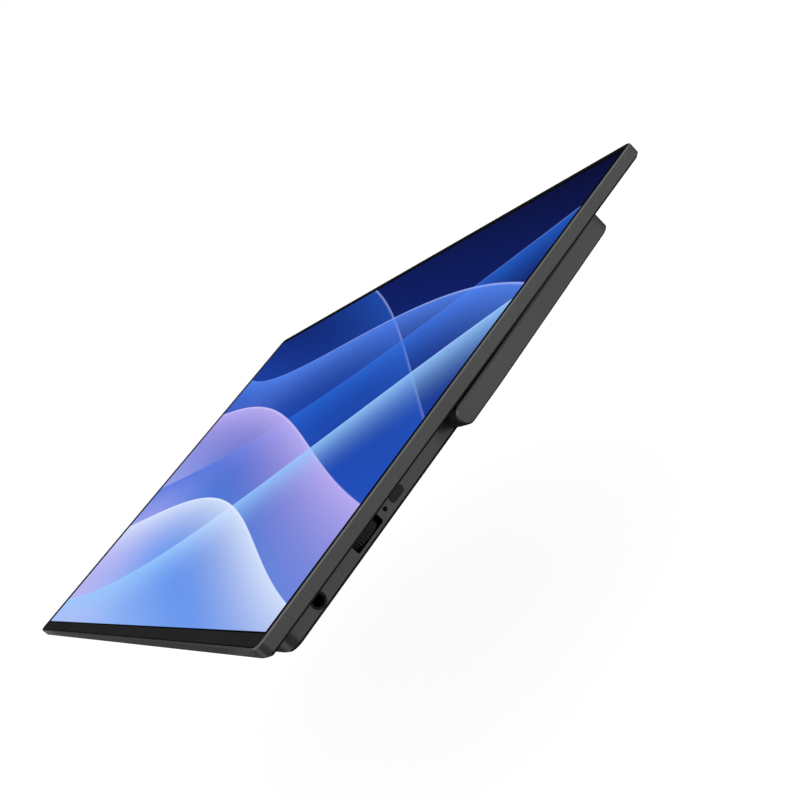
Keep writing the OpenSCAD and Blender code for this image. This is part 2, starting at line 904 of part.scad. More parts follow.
module hinge_bracket_left() {
    mirror([1, 0, 0])
        hinge_bracket();
}

module hinge_bracket_right() {
    hinge_bracket();
}

module bracket_screws() {
    color("#8c8c90")
    each_bracket_screw()
        pan_screw(slab_z - bracket_plate_t, floor_z - 0.1, screw_r, screw_head_r, screw_head_h);
}

// ---------- stand ----------

module each_leaf_screw() {
    for (s = [-1, 1], i = [0, 1])
        translate([s * leaf_screw_x, hinge_y + leaf_screw_start + i * leaf_screw_pitch, 0])
            children();
}

// Outline of the leaf on the right arm, seen from the front
module leaf_outline(grow) {
    x0 = arm_in_x;
    x1 = arm_out_x - leaf_edge + grow;
    y1 = hinge_y + leaf_len + grow;
    r = leaf_corner_r;
    translate([x0, hinge_y])
        square([x1 - x0, y1 - hinge_y - r]);
    translate([x0 + r, hinge_y])
        square([x1 - x0 - r, y1 - hinge_y]);
    translate([x0 + r, y1 - r])
        circle(r);
}

// X of a round corner's centre at a height, where the corner touches the leaning line from x
function lean_x(x, r, y) = x - (r + sin(lean) * (y - lean_y)) / cos(lean);

// Outer outline of the stand, without its round corners
module stand_outline() {
    right = [[arm_out_x, hinge_y], [arm_out_x, lean_y],
        [corner_x + stand_corner_r * cos(lean), corner_y + stand_corner_r * sin(lean)],
        [corner_x, corner_y], [corner_x, stand_top_y]];
    polygon(concat(right, [for (i = [len(right) - 1 : -1 : 0]) [-right[i].x, right[i].y]]));
}

// Opening between the arms, with round corners beside the bar
module stand_window() {
    y = window_top_y - stand_inner_r;
    x = lean_x(arm_in_x, stand_inner_r, y);
    for (s = [0, 1])
        mirror([s, 0]) {
            polygon([[-eps, hinge_y - 2 * end_r], [arm_in_x, hinge_y - 2 * end_r], [arm_in_x, lean_y],
                [x + stand_inner_r * cos(lean), y + stand_inner_r * sin(lean)], [x, y],
                [x, window_top_y], [-eps, window_top_y]]);
            translate([x, y])
                circle(stand_inner_r);
        }
}

// Cuts both bevels along a side that runs from the origin towards +Y
module bevel_cut(length) {
    for (m = [0, 1])
        translate([0, 0, m * stand_t])
            mirror([0, 0, m])
                rotate([90, 0, 0])
                    translate([0, 0, -length - over])
                        linear_extrude(length + 2 * over)
                            polygon([[-stand_bevel - over, -over], [over, stand_bevel + over],
                                [over, -over]]);
}

module stand_frame() {
    color("#2b2b2d")
    difference() {
        union() {
            difference() {
                linear_extrude(stand_t)
                    stand_outline();
                for (s = [0, 1])
                    mirror([s, 0, 0]) {
                        translate([arm_out_x, hinge_y, 0])
                            bevel_cut(lean_y - hinge_y);
                        translate([arm_out_x, lean_y, 0])
                            rotate([0, 0, lean])
                                bevel_cut((corner_y - lean_y) / cos(lean));
                    }
                translate([corner_x, stand_top_y, 0])
                    rotate([0, 0, 90])
                        bevel_cut(2 * corner_x);
            }
            for (s = [0, 1])
                mirror([s, 0, 0]) {
                    translate([corner_x, corner_y, 0])
                        rotate_extrude()
                            edge_outline(stand_corner_r, stand_t, [stand_bevel, stand_bevel],
                                [stand_bevel, stand_bevel]);
                    translate([0, hinge_y, hinge_z])
                        rotate([0, 90, 0])
                            rotate_extrude()
                                polygon([[0, arm_in_x], [end_r, arm_in_x], [end_r, arm_out_x - stand_bevel],
                                    [end_r - stand_bevel, arm_out_x], [0, arm_out_x]]);
                }
        }
        translate([0, 0, -over])
            linear_extrude(stand_t + 2 * over)
                stand_window();
        for (s = [0, 1])
            mirror([s, 0, 0]) {
                translate([0, 0, -eps])
                    linear_extrude(leaf_sink + leaf_t + eps)
                        leaf_outline(pocket_fit);
                rod_x(arm_in_x - eps, knuckle_out_x, hinge_y, hinge_z, end_r + fit);
            }
        each_leaf_screw()
            rod_z(0, 0, 0, leaf_sink + leaf_t + leaf_screw_bite + fit, leaf_screw_r + thread_fit);
        box(-foot_x, foot_x, stand_top_y - foot_depth, stand_top_y + over,
            hinge_z - foot_h / 2, hinge_z + foot_h / 2);
    }
}

module stand_foot() {
    color("#1a1a1a")
    box(-foot_x, foot_x, stand_top_y - foot_depth, stand_top_y + foot_proud,
        hinge_z - foot_h / 2, hinge_z + foot_h / 2);
}

// Flat leaf in the arm's pocket, and the knuckle that holds the shaft
module hinge_leaf() {
    color("#4a4a4e")
    difference() {
        union() {
            translate([0, 0, leaf_sink])
                linear_extrude(leaf_t)
                    leaf_outline(0);
            rod_x(knuckle_in_x, knuckle_out_x, hinge_y, hinge_z, knuckle_r);
        }
        rod_x(knuckle_in_x - over, shaft_end_x + 0.05, hinge_y, hinge_z, shaft_r + press_gap);
        each_leaf_screw() {
            rod_z(0, 0, 0, leaf_sink + leaf_t + over, leaf_screw_r + fit);
            rod_z(0, 0, 0, leaf_sink + head_sink, leaf_head_r + fit);
        }
    }
}

module hinge_leaf_left() {
    mirror([1, 0, 0])
        hinge_leaf();
}

module hinge_leaf_right() {
    hinge_leaf();
}

module leaf_screws() {
    color("#c4c4c8")
    each_leaf_screw()
        pan_screw(leaf_sink + head_sink, leaf_sink + leaf_t + leaf_screw_bite,
            leaf_screw_r, leaf_head_r, leaf_head_h);
}

module hinge_shaft() {
    color("#b0b0b4")
    rod_x(nut_x - nut_t - 0.2, shaft_end_x, hinge_y, hinge_z, shaft_r);
}

module hinge_shaft_left() {
    mirror([1, 0, 0])
        hinge_shaft();
}

module hinge_shaft_right() {
    hinge_shaft();
}

module friction_washers() {
    color("#55555a")
    for (s = [0, 1], i = [0 : washer_count - 1])
        mirror([s, 0, 0])
            difference() {
                rod_x(washer_x - i * washer_pitch - washer_t, washer_x - i * washer_pitch,
                    hinge_y, hinge_z, washer_r);
                rod_x(nut_x - over, washer_x + over, hinge_y, hinge_z, shaft_r + press_gap);
            }
}

module hinge_nuts() {
    color("#9a9aa0")
    for (s = [0, 1])
        mirror([s, 0, 0])
            difference() {
                translate([nut_x - nut_t, hinge_y, hinge_z])
                    rotate([0, 90, 0])
                        cylinder(h = nut_t, r = nut_r, $fn = 6);
                rod_x(nut_x - nut_t - over, nut_x + over, hinge_y, hinge_z, shaft_r + press_gap);
            }
}

// ---------- assembly ----------

rear_chassis();
chin_strip();
lcd_front_glass();
lcd_rear_glass();
optical_films();
light_guide();
reflector_sheet();
led_strip();
panel_frame();
panel_back_plate();
panel_tape();
driver_flexes();
timing_board();
display_cable();
housing_cover();
main_board();
board_chips();
board_screws();
key_board();
key_cable();
usb_c_shell_upper();
usb_c_shell_lower();
usb_c_tongues();
mini_hdmi_shell();
mini_hdmi_tongue();
audio_jack();
status_led();
led_light_pipe();
power_switch();
jog_switch();
hinge_bracket_left();
hinge_bracket_right();
bracket_screws();
stand_frame();
stand_foot();
hinge_leaf_left();
hinge_leaf_right();
leaf_screws();
hinge_shaft_left();
hinge_shaft_right();
friction_washers();
hinge_nuts();
power_button();
jog_carrier();
jog_wheel();
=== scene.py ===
"""A portable monitor with a fold-out stand: finishes, marks, contacts, floor, lamps, cards and camera.

All lengths are in metres, in the CAD frame: the monitor lies on its back with the screen up, +X is the
viewer's right and +Y the picture's top edge.
"""

import json
import math

import bmesh
import bpy
from mathutils import Matrix, Vector


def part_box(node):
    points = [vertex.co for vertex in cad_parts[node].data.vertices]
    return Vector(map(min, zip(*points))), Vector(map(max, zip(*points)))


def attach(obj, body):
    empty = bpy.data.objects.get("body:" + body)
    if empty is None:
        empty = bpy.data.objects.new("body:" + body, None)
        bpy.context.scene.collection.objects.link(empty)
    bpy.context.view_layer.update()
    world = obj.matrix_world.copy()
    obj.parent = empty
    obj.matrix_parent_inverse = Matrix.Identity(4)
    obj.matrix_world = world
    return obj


MM = 0.001

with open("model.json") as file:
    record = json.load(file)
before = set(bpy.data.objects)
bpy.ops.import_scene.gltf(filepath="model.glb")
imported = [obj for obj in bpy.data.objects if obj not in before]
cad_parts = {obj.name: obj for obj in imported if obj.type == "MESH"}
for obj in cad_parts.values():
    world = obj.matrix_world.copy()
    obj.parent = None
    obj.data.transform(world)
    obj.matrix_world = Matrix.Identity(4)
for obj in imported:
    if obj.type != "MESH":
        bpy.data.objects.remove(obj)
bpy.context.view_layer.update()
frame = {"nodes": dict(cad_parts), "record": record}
slab_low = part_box("rear_chassis")[0]


# ---------- node helpers ----------

class Nodes:
    """A material's node tree, with one short call for each kind of node it needs."""

    def __init__(self, name):
        self.material = bpy.data.materials.new(name)
        self.material.use_nodes = True
        self.tree = self.material.node_tree
        self.tree.nodes.clear()
        self.output = self.add("ShaderNodeOutputMaterial")
        self.place = self.add("ShaderNodeTexCoord").outputs["Object"]

    def add(self, kind, **settings):
        """A new node of a kind, with its settings."""
        node = self.tree.nodes.new(kind)
        for name, value in settings.items():
            setattr(node, name, value)
        return node

    def put(self, socket, value):
        """Links an output to a socket, or sets the socket to a plain value."""
        if isinstance(value, bpy.types.NodeSocket):
            self.tree.links.new(value, socket)
        else:
            socket.default_value = value

    def math(self, operation, a, b=0.0, c=0.0):
        """A sum, product or other operation on one to three values."""
        node = self.add("ShaderNodeMath", operation=operation)
        for socket, value in zip(node.inputs, (a, b, c)):
            self.put(socket, value)
        return node.outputs[0]

    def ramp(self, value, low, high, to_low=0.0, to_high=1.0, smooth=False):
        """A value's stretch from low to high, mapped to another stretch and held at its ends."""
        node = self.add("ShaderNodeMapRange", interpolation_type="SMOOTHSTEP" if smooth else "LINEAR")
        for socket, item in zip(node.inputs, (value, low, high, to_low, to_high)):
            self.put(socket, item)
        return node.outputs[0]

    def mix(self, factor, a, b, blend="MIX"):
        """Two colours blended by a factor."""
        node = self.add("ShaderNodeMix", data_type="RGBA", blend_type=blend)
        for name, value in (("Factor_Float", factor), ("A_Color", a), ("B_Color", b)):
            socket = next(s for s in node.inputs if s.identifier == name)
            self.put(socket, value)
        return next(s for s in node.outputs if s.identifier == "Result_Color")

    def stretched(self, x, y, z):
        """The place on the object, scaled along each axis."""
        node = self.add("ShaderNodeMapping")
        self.put(node.inputs["Vector"], self.place)
        node.inputs["Scale"].default_value = (x, y, z)
        return node.outputs[0]

    def noise(self, scale, detail=2.0, where=None):
        """Soft noise with this many cells to a metre."""
        node = self.add("ShaderNodeTexNoise")
        self.put(node.inputs["Vector"], where or self.place)
        node.inputs["Scale"].default_value = scale
        node.inputs["Detail"].default_value = detail
        return node.outputs[0]

    def drift(self, fine, soft):
        """A fine and a soft noise in one value, to drift between two tones."""
        return self.math("ADD", self.math("MULTIPLY", fine, 0.45), self.math("MULTIPLY", soft, 0.55))

    def axes(self, vector):
        """The X, Y and Z of a vector."""
        node = self.add("ShaderNodeSeparateXYZ")
        self.put(node.inputs[0], vector)
        return node.outputs

    def bump(self, height, strength, distance):
        """A normal that follows a height."""
        node = self.add("ShaderNodeBump")
        node.inputs["Strength"].default_value = strength
        node.inputs["Distance"].default_value = distance
        self.put(node.inputs["Height"], height)
        return node.outputs[0]

    def surface(self, **inputs):
        """The Principled shader that ends the tree; underscores in names stand for spaces."""
        shader = self.add("ShaderNodeBsdfPrincipled")
        for name, value in inputs.items():
            self.put(shader.inputs[name.replace("_", " ")], value)
        self.tree.links.new(shader.outputs[0], self.output.inputs["Surface"])
        return self.material


def grey(level, tint=0.0):
    """A linear grey, a touch bluer with a positive tint."""
    return (level * (1 - tint), level, level * (1 + 2 * tint), 1.0)


def textured(name, dark, light, roughness, metallic=0.0, grain=6000.0, bump=0.1, depth=0.02 * MM,
             stretch=(1.0, 1.0, 1.0), spread=0.06, **extra):
    """A surface whose colour drifts between two tones, with a fine grain in its roughness and bump."""
    m = Nodes(name)
    where = m.stretched(*stretch)
    fine = m.noise(grain, 3.0, where)
    tone = m.drift(fine, m.noise(30.0, 2.0, where))
    colour = m.mix(m.ramp(tone, 0.35, 0.65), dark, light)
    rough = m.ramp(fine, 0.3, 0.7, roughness - spread, roughness + spread)
    return m.surface(Base_Color=colour, Roughness=rough, Metallic=metallic,
                     Normal=m.bump(fine, bump, depth), **extra)


# ---------- finishes ----------

# The Z of a normal where a face starts to count as a back, a cut edge or a front, and where it wholly
# does. Anodised metal gets painted shade on its backs and fronts and a painted highlight on its cut edges
# by these.
TO_BACK = (-0.3, -0.7)
TO_EDGE = (0.3, 0.5)
TO_FRONT = (0.85, 0.95)


def anodised(name, level, back=1.0, painted_edge_highlight=1.0, front=1.0):
    """Bead-blasted, dark anodised aluminium; its tone is multiplied by shares for its back, cut edges and
    front, where a share below 1 is painted shade and a share above 1 a painted highlight.
    """
    m = Nodes(name)
    fine = m.noise(5200.0, 3.0)
    tone = m.drift(fine, m.noise(16.0))
    colour = m.mix(m.ramp(tone, 0.35, 0.65), grey(level * 0.88), grey(level * 1.12))
    forward = m.axes(m.add("ShaderNodeTexCoord").outputs["Normal"])[2]
    # Painted light: the tone is darkened on backs and fronts as painted shade and lightened on cut edges
    # as a painted highlight, by which way each face points
    share = m.math("ADD", m.ramp(forward, *TO_BACK, 1.0, back), m.ramp(forward, *TO_EDGE, 0.0, painted_edge_highlight - 1.0))
    share = m.math("ADD", share, m.ramp(forward, *TO_FRONT, 0.0, front - painted_edge_highlight))
    colour = m.mix(1.0, colour, share, "MULTIPLY")
    rough = m.math("ADD", m.ramp(fine, 0.3, 0.7, 0.21, 0.29), m.ramp(forward, *TO_BACK, 0.0, 0.4))
    return m.surface(Base_Color=colour, Roughness=rough, Metallic=m.ramp(forward, *TO_BACK, 0.6, 0.0),
                     Specular_IOR_Level=0.012, Specular_Tint=grey(0.25),
                     Normal=m.bump(fine, 0.16, 0.02 * MM))


def moulded(name, level, roughness=0.5, **extra):
    """Fine-grained moulded plastic."""
    return textured(name, grey(level * 0.85), grey(level * 1.15), roughness, grain=3800.0,
                    bump=0.2, depth=0.03 * MM, **extra)


def steel(name, level, roughness):
    """Drawn or stamped steel, with fine lines along X."""
    return textured(name, grey(level * 0.85), grey(level * 1.1), roughness, metallic=1.0, grain=2600.0,
                    bump=0.12, depth=0.01 * MM, stretch=(0.15, 1.0, 1.0), spread=0.08)


def striped(name, ground, line, pitch, axis, roughness, share=0.5):
    """A ground with parallel conductors across one axis, raised a little; they cover a share of it."""
    m = Nodes(name)
    phase = m.math("FRACT", m.math("DIVIDE", m.axes(m.place)[axis], pitch))
    start = 0.5 * (1 - share)
    bar = m.ramp(m.math("PINGPONG", phase, 0.5), start - 0.04, start + 0.04)
    cloud = m.noise(400.0, 3.0)
    colour = m.mix(bar, ground, line)
    colour = m.mix(m.ramp(cloud, 0.3, 0.7, 0.0, 0.25), colour, grey(0.02))
    rough = m.ramp(cloud, 0.3, 0.7, roughness - 0.06, roughness + 0.06)
    return m.surface(Base_Color=colour, Roughness=rough, Normal=m.bump(bar, 0.3, 0.02 * MM))


def circuit_board(name):
    """Green solder mask over copper tracks, with small bare pads."""
    m = Nodes(name)
    tracks = m.add("ShaderNodeTexVoronoi", distance="CHEBYCHEV", feature="DISTANCE_TO_EDGE")
    m.put(tracks.inputs["Vector"], m.place)
    tracks.inputs["Scale"].default_value = 420.0
    pads = m.add("ShaderNodeTexVoronoi", feature="F1")
    m.put(pads.inputs["Vector"], m.place)
    pads.inputs["Scale"].default_value = 760.0
    copper = m.ramp(tracks.outputs["Distance"], 0.02, 0.05)
    colour = m.mix(copper, (0.02, 0.16, 0.06, 1.0), (0.008, 0.075, 0.03, 1.0))
    pad = m.ramp(pads.outputs["Distance"], 0.16, 0.2, 1.0, 0.0)
    colour = m.mix(pad, colour, (0.55, 0.53, 0.48, 1.0))
    rough = m.ramp(m.noise(1500.0), 0.3, 0.7, 0.3, 0.42)
    return m.surface(Base_Color=colour, Roughness=rough, Normal=m.bump(copper, 0.2, 0.02 * MM))


def inside_of(m, value, span):
    """1 between the two ends of a span and 0 outside, with ends a tenth of a millimetre soft."""
    soft = 0.1 * MM
    low = m.ramp(value, span[0] - soft, span[0] + soft)
    high = m.ramp(value, span[1] - soft, span[1] + soft, 1.0, 0.0)
    return m.math("MULTIPLY", low, high)


# The lit picture's ends across the screen and up it
PICTURE_X = (-151.5 * MM, 150.9 * MM)
PICTURE_Y = (-92.55 * MM, 95.3 * MM)
BLACK = (0.0, 0.0, 0.0, 1.0)
LAVENDER = (0.5, 0.44, 0.88, 1.0)

# The picture's ground from the lower left corner to the upper right one
GROUND = [
    (0.0, (0.44, 0.62, 0.96, 1.0)),
    (0.25, (0.13, 0.3, 0.85, 1.0)),
    (0.48, (0.012, 0.07, 0.47, 1.0)),
    (0.72, (0.003, 0.014, 0.15, 1.0)),
    (1.0, (0.001, 0.002, 0.028, 1.0)),
]

# Each silk band over it: height of its bright edge at the left, rise to the right, swell, turns, phase,
# how far down it fades, its colour and how strongly it covers
BANDS = [
    (1.22, -0.80, 0.10, 0.45, 0.10, 0.34, (0.02, 0.11, 0.60, 1.0), 0.55),
    (0.42, 0.44, 0.09, 0.55, 0.45, 0.30, (0.02, 0.14, 0.72, 1.0), 0.70),
    (0.98, -0.42, 0.13, 0.60, 0.72, 0.26, (0.10, 0.26, 0.95, 1.0), 0.75),
    (0.62, -0.30, 0.12, 0.50, 0.15, 0.30, (0.55, 0.46, 0.95, 1.0), 0.85),
    (0.10, 0.46, 0.10, 0.60, 0.55, 0.24, (0.30, 0.58, 1.00, 1.0), 0.85),
    (0.34, -0.22, 0.09, 0.70, 0.95, 0.22, (0.70, 0.80, 1.00, 1.0), 0.90),
]


def lit_panel():
    """The screen: a black border round a picture of silk bands that lights itself."""
    m = Nodes("screen_picture")
    x, y = m.axes(m.place)[:2]
    u = m.ramp(x, PICTURE_X[0], PICTURE_X[1])
    w = m.ramp(y, PICTURE_Y[0], PICTURE_Y[1])
    ground = m.add("ShaderNodeValToRGB")
    m.put(ground.inputs[0], m.math("ADD", m.math("MULTIPLY", u, 0.32), m.math("MULTIPLY", w, 0.68)))
    stops = ground.color_ramp.elements
    while len(stops) < len(GROUND):
        stops.new(0.5)
    for stop, (where, tone) in zip(stops, GROUND):
        stop.position = where
        stop.color = tone
    left = m.math("MULTIPLY", m.ramp(u, 0.0, 0.45, 0.75, 0.0, True), m.ramp(w, 0.25, 0.8, 1.0, 0.0, True))
    colour = m.mix(left, ground.outputs[0], LAVENDER)
    for base, rise, height, turns, phase, depth, tone, cover in BANDS:
        swell = m.math("SINE", m.math("MULTIPLY_ADD", u, math.tau * turns, math.tau * phase))
        line = m.math("MULTIPLY_ADD", swell, height, m.math("MULTIPLY_ADD", u, rise, base))
        under = m.math("SUBTRACT", line, w)
        fade = m.ramp(under, 0.0, depth, 1.0, 0.0)
        veil = m.math("MULTIPLY", m.math("POWER", fade, 2.2), m.ramp(under, -0.0006, 0.0012, 0.0, cover))
        colour = m.mix(veil, colour, tone)
        crest = m.ramp(swell, -0.9, 1.0, 0.05, 0.75)
        hair = m.math("MULTIPLY", m.ramp(under, 0.0, 0.007, 1.0, 0.0), crest)
        hair = m.math("MULTIPLY", hair, m.ramp(under, -0.0012, 0.0))
        colour = m.mix(hair, colour, tuple(0.35 + 0.65 * part for part in tone))
    inside = m.math("MULTIPLY", inside_of(m, x, PICTURE_X), inside_of(m, y, PICTURE_Y))
    picture = m.mix(inside, BLACK, colour)
    dust = m.noise(900.0, 4.0)
    black = m.mix(dust, grey(0.0025), grey(0.0045))
    rough = m.ramp(dust, 0.3, 0.7, 0.16, 0.24)
    return m.surface(Base_Color=black, Roughness=rough, Specular_IOR_Level=0.004,
                     Emission_Color=picture, Emission_Strength=1.0,
                     Normal=m.bump(m.noise(9000.0, 1.0), 0.04, 0.001 * MM))


MATERIALS = {
    # The body's backs and fronts are painted in shade at 0.3 of its tone, and its cut edges get a painted
    # highlight at 2.1 times it
    "body_metal": anodised("body_metal", 0.066, back=0.3, painted_edge_highlight=2.1, front=0.3),
    "chin": moulded("chin_plastic", 0.018, 0.45, Specular_IOR_Level=0.08),
    "screen": lit_panel(),
    "rear_glass": textured("panel_glass", grey(0.008, 0.05), grey(0.014, 0.05), 0.12, bump=0.02),
    "film": textured("optical_film", grey(0.74), grey(0.82), 0.4, grain=900.0, bump=0.05,
                     stretch=(1.0, 20.0, 1.0)),
    "clear_acrylic": textured("clear_acrylic", (0.6, 0.68, 0.72, 1.0), (0.7, 0.76, 0.79, 1.0), 0.12,
                              grain=1500.0, bump=0.08, spread=0.04),
    "led": textured("led_strip", (0.75, 0.68, 0.42, 1.0), (0.9, 0.86, 0.7, 1.0), 0.35, grain=1200.0),
    "black_plastic": moulded("black_plastic", 0.011, Specular_IOR_Level=0.06),
    "plate_steel": steel("plate_steel", 0.42, 0.34),
    "foam_tape": textured("foam_tape", grey(0.012), grey(0.035), 0.85, grain=2200.0, bump=0.6,
                          depth=0.08 * MM),
    "flex": striped("flex_film", (0.22, 0.09, 0.02, 1.0), (0.5, 0.24, 0.08, 1.0), 0.5 * MM, 0, 0.35),
    "board": circuit_board("circuit_board"),
    "white_cable": striped("flat_cable", grey(0.55), grey(0.7), 1.0 * MM, 1, 0.5, 0.6),
    "screw_steel": steel("screw_steel", 0.5, 0.24),
    "socket_metal": steel("socket_metal", 0.38, 0.3),
    "hdmi_metal": textured("hdmi_metal", (0.44, 0.36, 0.22, 1.0), (0.6, 0.5, 0.32, 1.0), 0.28,
                           metallic=1.0, grain=2600.0, bump=0.12, depth=0.01 * MM),
    "light_pipe": textured("light_pipe", grey(0.0015, 0.1), grey(0.003, 0.1), 0.25, grain=2500.0,
                           bump=0.03, Specular_IOR_Level=0.03),
    "hinge_steel": textured("hinge_steel", grey(0.028, 0.01), grey(0.04, 0.01), 0.28, metallic=0.6,
                            grain=3000.0, bump=0.12, depth=0.01 * MM, stretch=(1.0, 0.2, 1.0)),
    "shaft_steel": steel("shaft_steel", 0.45, 0.22),
    "foot_rubber": textured("foot_rubber", grey(0.009), grey(0.016), 0.75, grain=2600.0, bump=0.35,
                            depth=0.05 * MM, Specular_IOR_Level=0.2),
    "button": anodised("button_metal", 0.02),
    "wheel": moulded("wheel_plastic", 0.005, 0.32, Specular_IOR_Level=0.15),
}

slot_of = {}
for entry in frame["record"]["subparts"]:
    slot_of[entry["node"]] = entry["material_slot"]
for name, node in frame["nodes"].items():
    node.data.materials.clear()
    node.data.materials.append(MATERIALS[slot_of[name]])


# ---------- small pieces ----------

def piece(name, mesh, material, body="display"):
    """Makes an object of a bmesh, gives it its material and lets it ride on a body."""
    bmesh.ops.recalc_face_normals(mesh, faces=mesh.faces)
    data = bpy.data.meshes.new(name)
    mesh.to_mesh(data)
    mesh.free()
    data.materials.append(material)
    made = bpy.data.objects.new(name, data)
    bpy.context.scene.collection.objects.link(made)
    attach(made, body)
    return made


def band_between(mesh, outer, inner, z0, z1):
    """A closed band between two outlines of as many points each, from z0 to z1."""
    rings = [[mesh.verts.new((px, py, z)) for px, py in line] for line in (outer, inner) for z in (z0, z1)]
    count = len(outer)
    for i in range(count):
        j = (i + 1) % count
        for a, b in ((0, 1), (1, 3), (3, 2), (2, 0)):
            mesh.faces.new((rings[a][i], rings[a][j], rings[b][j], rings[b][i]))


def ribbon(mesh, points, width, z0, z1):
    """A closed flat stroke of even width along an open line of points."""
    left, right = [], []
    for i, here in enumerate(points):
        before = points[max(i - 1, 0)]
        after = points[min(i + 1, len(points) - 1)]
        into = (Vector(here) - Vector(before)).normalized() if i else None
        out = (Vector(after) - Vector(here)).normalized() if i < len(points) - 1 else None
        along = ((into or out) + (out or into)).normalized()
        side = Vector((-along.y, along.x))
        half = width / 2 / max(0.5, abs(along.dot(into or out)))
        left.append(Vector(here) + side * half)
        right.append(Vector(here) - side * half)
    line = left + right[::-1]
    low = [mesh.verts.new((p.x, p.y, z0)) for p in line]
    high = [mesh.verts.new((p.x, p.y, z1)) for p in line]
    last = len(points) - 1
    count = len(line)
    for i in range(last):
        for ring in (low, high):
            mesh.faces.new((ring[i], ring[i + 1], ring[count - 2 - i], ring[count - 1 - i]))
    for i in range(count):
        j = (i + 1) % count
        mesh.faces.new((low[i], low[j], high[j], high[i]))


def brick(mesh, low, high):
    """A closed box with its edges eased, for a contact."""
    size = Vector(high) - Vector(low)
    made = bmesh.ops.create_cube(mesh, size=1.0)["verts"]
    bmesh.ops.scale(mesh, vec=size, verts=made)
    bmesh.ops.translate(mesh, vec=(Vector(low) + Vector(high)) / 2, verts=made)
    edges = list({e for v in made for e in v.link_edges})
    bmesh.ops.bevel(mesh, geom=edges, offset=min(size) * 0.25, segments=1, affect="EDGES")


INK = textured("mark_ink", grey(0.16), grey(0.21), 0.5, grain=9000.0, bump=0.05)
GOLD = textured("gold_contact", (0.62, 0.42, 0.14, 1.0), (0.78, 0.55, 0.22, 1.0), 0.25, metallic=1.0,
                grain=5000.0, bump=0.04)


# ---------- marks beside the sockets ----------

# The printed film's half thickness, about the back plane, and the marks' line beside the slab's left edge
MARK_RAISE = 0.02 * MM
MARK_X = slab_low.x + 12.9 * MM

# A mark in millimetres: its line's width, half the outline's width, how much less its inner corners are
# cut, and how far the outline lies above the mark's height and the digit below it
MARK_LINE = 0.34
MARK_HALF = 1.1
INNER_CUT = 0.15
OUTLINE_UP = 1.6
DIGIT_DOWN = 3.1


def height(v):
    """Y of a height above the slab's bottom edge, in millimetres."""
    return slab_low.y + v * MM


def arc(cx, cy, r, start, end, steps):
    """Points along part of a circle, angles in degrees."""
    turns = [math.radians(start + (end - start) * i / steps) for i in range(steps + 1)]
    return [(cx + r * math.cos(t), cy + r * math.sin(t)) for t in turns]


def loop_of(half_long, half_wide, cut_low, cut_high):
    """The outline of a socket lying along the first axis, its corners cut by two amounts."""
    return [(-half_long, half_wide - cut_high), (-half_long + cut_high, half_wide),
            (half_long - cut_high, half_wide), (half_long, half_wide - cut_high),
            (half_long, -half_wide + cut_low), (half_long - cut_low, -half_wide),
            (-half_long + cut_low, -half_wide), (-half_long, -half_wide + cut_low)]


DIGITS = {
    "1": [[(-0.35, 0.75), (0.1, 1.15), (0.1, -1.15)]],
    "2": [arc(0, 0.45, 0.68, 165, -35, 10) + [(-0.7, -1.13), (0.72, -1.13)]],
    "3": [[(-0.65, 1.13), (0.55, 1.13), (-0.1, 0.25)] + arc(-0.08, -0.45, 0.68, 65, -150, 10)],
}


def mark(name, v, digit, long_side, cuts):
    """A printed outline of the socket with its number beside it, on the housing's back."""
    mesh = bmesh.new()

    def placed(points, shift):
        return [(MARK_X + q * MM, height(v + p + shift)) for p, q in points]

    outer = loop_of(long_side / 2, MARK_HALF, *cuts)
    smaller = [max(cut - INNER_CUT, 0.05) for cut in cuts]
    inner = loop_of(long_side / 2 - MARK_LINE, MARK_HALF - MARK_LINE, *smaller)
    band_between(mesh, placed(outer, OUTLINE_UP), placed(inner, OUTLINE_UP), -MARK_RAISE, MARK_RAISE)
    for stroke in DIGITS[digit]:
        ribbon(mesh, placed(stroke, -DIGIT_DOWN), MARK_LINE * MM, -MARK_RAISE, MARK_RAISE)
    piece(name, mesh, INK)


mark("port_mark_upper", 59.3, "1", 4.6, (1.0, 1.0))
mark("port_mark_lower", 41.1, "2", 4.6, (1.0, 1.0))
mark("port_mark_display", 22.3, "3", 5.2, (0.9, 0.2))


# ---------- contacts in the sockets ----------

# A node's points are grouped by whole steps along Y, and each group gets a row about its middle.
# Known fault: the step is too small, so a tongue's two side edges fall in two groups, each with a row of
# which half lies off the tongue. A step of 18 mm would keep each tongue in one group.
GROUP_STEP = 9 * MM

# A contact starts back from the tip, partly sunk in the face and proud of it
TIP_BACK = 0.35 * MM
SUNK = 0.02 * MM
PROUD = 0.05 * MM


def contacts(name, node, count, pitch, width, reach):
    """Rows of plated strips, level with both faces of a node's tongues."""
    mesh = bmesh.new()
    points = [v.co.copy() for v in frame["nodes"][node].data.vertices]
    for group in sorted({round(p.y / GROUP_STEP) for p in points}):
        near = [p for p in points if round(p.y / GROUP_STEP) == group]
        y = (min(p.y for p in near) + max(p.y for p in near)) / 2
        start = min(p.x for p in near) + TIP_BACK
        for face, side in ((min(p.z for p in near), -1), (max(p.z for p in near), 1)):
            for i in range(count):
                at = y + (i - (count - 1) / 2) * pitch
                z0, z1 = sorted((face - side * SUNK, face + side * PROUD))
                brick(mesh, (start, at - width / 2, z0), (start + reach, at + width / 2, z1))
    piece(name, mesh, GOLD)


contacts("usb_c_contacts", "usb_c_tongues", 12, 0.5 * MM, 0.27 * MM, 2.6 * MM)
contacts("mini_hdmi_contacts", "mini_hdmi_tongue", 19, 0.4 * MM, 0.22 * MM, 3.2 * MM)


# ---------- studio ----------

FLOOR_Z = -95.0 * MM
FLOOR_R = 0.75
FLOOR_FADE = 0.32
FLOOR_GLOW = 0.85
WORLD_LIGHT = 0.7
CARD_Z = -90.0 * MM
CARD_BLACK = textured("card_black", grey(0.004), grey(0.008), 0.9, Specular_IOR_Level=0.0)
CARD_GREY = textured("card_grey", grey(0.26), grey(0.3), 0.9, Specular_IOR_Level=0.0)


